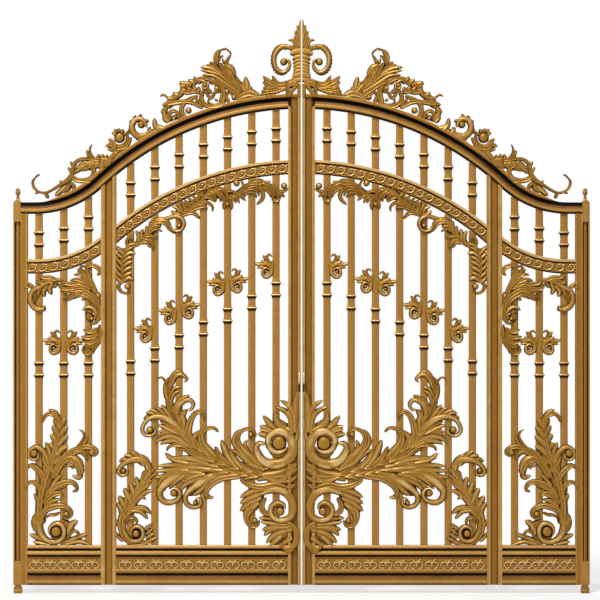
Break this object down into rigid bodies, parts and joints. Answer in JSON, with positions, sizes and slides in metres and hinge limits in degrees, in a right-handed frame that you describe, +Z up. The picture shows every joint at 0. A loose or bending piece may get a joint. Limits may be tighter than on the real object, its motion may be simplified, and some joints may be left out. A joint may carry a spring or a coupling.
{
  "type": "double-leaf cast aluminium driveway gate",
  "caption": "Arched double-leaf driveway gate of cast aluminium, with collared bars, patterned bands and leafy scroll castings, hung on slim round posts.",
  "frame": {"origin": "centre of the left hinge post's foot, on the ground", "axes": "+X along the gate to the right hinge post, +Y away from the show face towards the side the leaves open to, +Z up"},
  "size_m": [3.006, 0.094, 2.994],
  "materials": {
    "frame_gold": "satin antique-gold paint on cast stiles and rails, worn brighter on the edges, darker in the channels",
    "bar_gold": "satin antique-gold paint on smooth bars with a faint brushed grain",
    "panel_gold": "satin antique-gold paint, darkened in the recessed ground of the pattern",
    "casting_gold": "satin antique-gold paint on sand-cast foliage, rubbed bright on the high points, brown in the folds",
    "post_bronze": "dark bronze-brown paint on turned posts",
    "handle_gold": "pale worn gold on the handled pull"
  },
  "bodies": {
    "posts": {"left_post": "post_bronze", "left_post_foot": "post_bronze", "left_post_finial": "post_bronze", "right_post": "post_bronze", "right_post_foot": "post_bronze", "right_post_finial": "post_bronze"},
    "left_leaf": {"left_heel_stile": "frame_gold", "left_meeting_stile": "frame_gold", "left_mullion": "frame_gold", "left_head_arch": "frame_gold", "left_head_sweep": "frame_gold", "left_kick_rail": "frame_gold", "left_kick_panels": "panel_gold", "left_bands": "panel_gold", "left_short_bars": "bar_gold", "left_long_bars": "bar_gold", "left_crown_finial": "casting_gold", "left_crest_spray": "casting_gold", "left_crest_scrolls": "casting_gold", "left_garland": "casting_gold", "left_wide_acanthus": "casting_gold", "left_side_acanthus": "casting_gold", "left_side_spray": "casting_gold", "left_flower_castings": "casting_gold", "left_pull_handle": "handle_gold"},
    "right_leaf": {"right_heel_stile": "frame_gold", "right_meeting_stile": "frame_gold", "right_mullion": "frame_gold", "right_head_arch": "frame_gold", "right_head_sweep": "frame_gold", "right_kick_rail": "frame_gold", "right_kick_panels": "panel_gold", "right_bands": "panel_gold", "right_short_bars": "bar_gold", "right_long_bars": "bar_gold", "right_crown_finial": "casting_gold", "right_crest_spray": "casting_gold", "right_crest_scrolls": "casting_gold", "right_garland": "casting_gold", "right_wide_acanthus": "casting_gold", "right_side_acanthus": "casting_gold", "right_side_spray": "casting_gold", "right_flower_castings": "casting_gold", "right_pull_handle": "handle_gold"}
  },
  "joints": [
    {"name": "left_leaf_hinge", "type": "hinge", "parent": "posts", "child": "left_leaf", "pos_m": [0, 0, 0.1], "axis": [0, 0, 1], "range_deg": [0, 90]},
    {"name": "right_leaf_hinge", "type": "hinge", "parent": "posts", "child": "right_leaf", "pos_m": [2.96, 0, 0.1], "axis": [0, 0, -1], "range_deg": [0, 90]}
  ]
}
